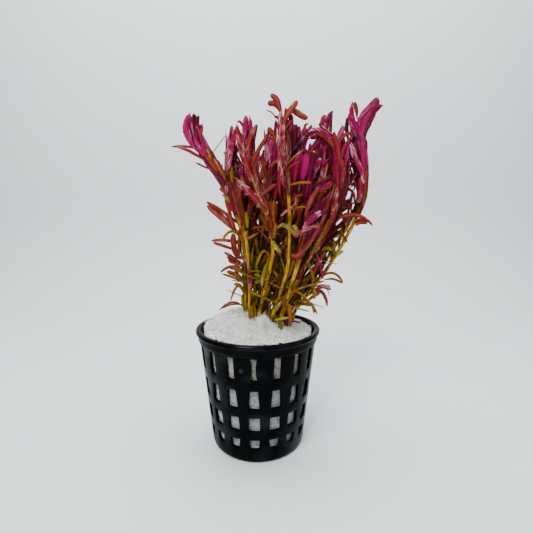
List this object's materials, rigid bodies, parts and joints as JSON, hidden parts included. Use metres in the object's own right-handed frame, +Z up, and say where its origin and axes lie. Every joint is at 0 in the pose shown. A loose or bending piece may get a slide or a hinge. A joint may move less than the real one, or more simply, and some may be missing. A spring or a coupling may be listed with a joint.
{
  "type": "potted rotala rotundifolia hra",
  "caption": "Bunch of red-tipped leafy aquarium stems planted in white filter wool in a black plastic net pot",
  "frame": {"origin": "middle of the pot's flat underside", "axes": "Z points up along the stems, with the front of the bunch at -Y and its widest spread along X"},
  "size_m": [0.0828, 0.0554, 0.1394],
  "materials": {
    "pot_plastic": "satin",
    "filter_wool": "matte",
    "stem": "satin",
    "crown_leaf": "gloss"
  },
  "bodies": {
    "root": {"net_pot": "pot_plastic", "wool_plug": "filter_wool", "stem_01": "stem", "stem_02": "stem", "stem_03": "stem", "stem_04": "stem", "stem_05": "stem", "stem_06": "stem", "stem_07": "stem", "stem_08": "stem", "stem_09": "stem", "stem_10": "stem", "stem_11": "stem", "stem_12": "stem", "stem_13": "stem", "stem_14": "stem", "stem_15": "stem", "stem_16": "stem", "stem_17": "stem", "stem_18": "stem", "stem_19": "stem", "stem_20": "stem", "crown_01": "crown_leaf", "crown_02": "crown_leaf", "crown_03": "crown_leaf", "crown_04": "crown_leaf", "crown_05": "crown_leaf", "crown_06": "crown_leaf", "crown_07": "crown_leaf", "crown_08": "crown_leaf", "crown_09": "crown_leaf", "crown_10": "crown_leaf", "crown_11": "crown_leaf", "crown_12": "crown_leaf", "crown_13": "crown_leaf", "crown_14": "crown_leaf", "crown_15": "crown_leaf", "crown_16": "crown_leaf", "crown_17": "crown_leaf", "crown_18": "crown_leaf", "crown_19": "crown_leaf", "crown_20": "crown_leaf"}
  },
  "joints": []
}
